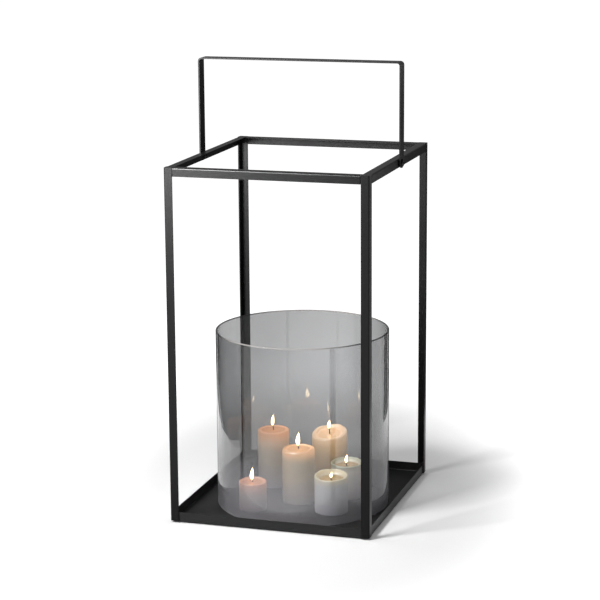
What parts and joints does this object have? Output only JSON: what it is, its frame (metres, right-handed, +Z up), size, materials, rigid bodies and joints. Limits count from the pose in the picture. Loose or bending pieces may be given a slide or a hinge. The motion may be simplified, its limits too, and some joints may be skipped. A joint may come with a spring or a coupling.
{
  "type": "lantern floor lamp",
  "caption": "Open black steel frame on a shallow tray with a folding bail handle, and a smoked glass cylinder with pillar candles standing inside.",
  "frame": {"origin": "on the floor, under the middle of the square frame", "axes": "+Z up, +X to the right along the handle's pivot axis, front towards -Y"},
  "size_m": [0.3624, 0.394, 0.7711],
  "materials": {
    "frame_black": "satin black powder coat with a fine grain",
    "screw_black": "black oxide, semi-gloss",
    "bush_black": "black nylon",
    "felt_grey": "dense grey felt",
    "glass_smoke": "clear smoke-grey glass, fire-polished edges",
    "wax_back_left": "peach wax, satin",
    "wax_centre": "tan and grey wax, satin",
    "wax_back_right": "cream wax, satin",
    "wax_right": "pale blue-green wax, satin",
    "wax_front_right": "off-white wax, satin",
    "wax_front_left": "dusty pink wax, satin",
    "wick_char": "charred cotton wick",
    "flame": "candle flame, glowing"
  },
  "bodies": {
    "frame": {"post_front_left": "frame_black", "post_front_right": "frame_black", "post_back_left": "frame_black", "post_back_right": "frame_black", "top_rail_front": "frame_black", "top_rail_back": "frame_black", "top_rail_left": "frame_black", "top_rail_right": "frame_black", "weld_beads": "frame_black", "base_tray": "frame_black", "felt_pads": "felt_grey", "pivot_screw_left": "screw_black", "pivot_bush_left": "bush_black", "pivot_nut_left": "screw_black", "pivot_screw_right": "screw_black", "pivot_bush_right": "bush_black", "pivot_nut_right": "screw_black"},
    "handle": {"handle_bail": "frame_black"},
    "glass": {"glass_cylinder": "glass_smoke"},
    "candle_back_left": {"candle_back_left": "wax_back_left", "wick_back_left": "wick_char"},
    "candle_centre": {"candle_centre": "wax_centre", "wick_centre": "wick_char"},
    "candle_back_right": {"candle_back_right": "wax_back_right", "wick_back_right": "wick_char"},
    "candle_right": {"candle_right": "wax_right", "wick_right": "wick_char"},
    "candle_front_right": {"candle_front_right": "wax_front_right", "wick_front_right": "wick_char"},
    "candle_front_left": {"candle_front_left": "wax_front_left", "wick_front_left": "wick_char"}
  },
  "joints": [
    {"name": "handle_fold", "type": "hinge", "parent": "frame", "child": "handle", "pos_m": [0, 0, 0.6017], "axis": [1, 0, 0], "range_deg": [-83, 83]},
    {"name": "glass_lift", "type": "slide", "parent": "frame", "child": "glass", "axis": [0, 0, 1], "range_m": [0, 0.296]},
    {"name": "candle_back_left_lift", "type": "slide", "parent": "frame", "child": "candle_back_left", "axis": [0, 0, 1], "range_m": [0, 0.32]},
    {"name": "candle_centre_lift", "type": "slide", "parent": "frame", "child": "candle_centre", "axis": [0, 0, 1], "range_m": [0, 0.32]},
    {"name": "candle_back_right_lift", "type": "slide", "parent": "frame", "child": "candle_back_right", "axis": [0, 0, 1], "range_m": [0, 0.32]},
    {"name": "candle_right_lift", "type": "slide", "parent": "frame", "child": "candle_right", "axis": [0, 0, 1], "range_m": [0, 0.32]},
    {"name": "candle_front_right_lift", "type": "slide", "parent": "frame", "child": "candle_front_right", "axis": [0, 0, 1], "range_m": [0, 0.32]},
    {"name": "candle_front_left_lift", "type": "slide", "parent": "frame", "child": "candle_front_left", "axis": [0, 0, 1], "range_m": [0, 0.32]}
  ]
}
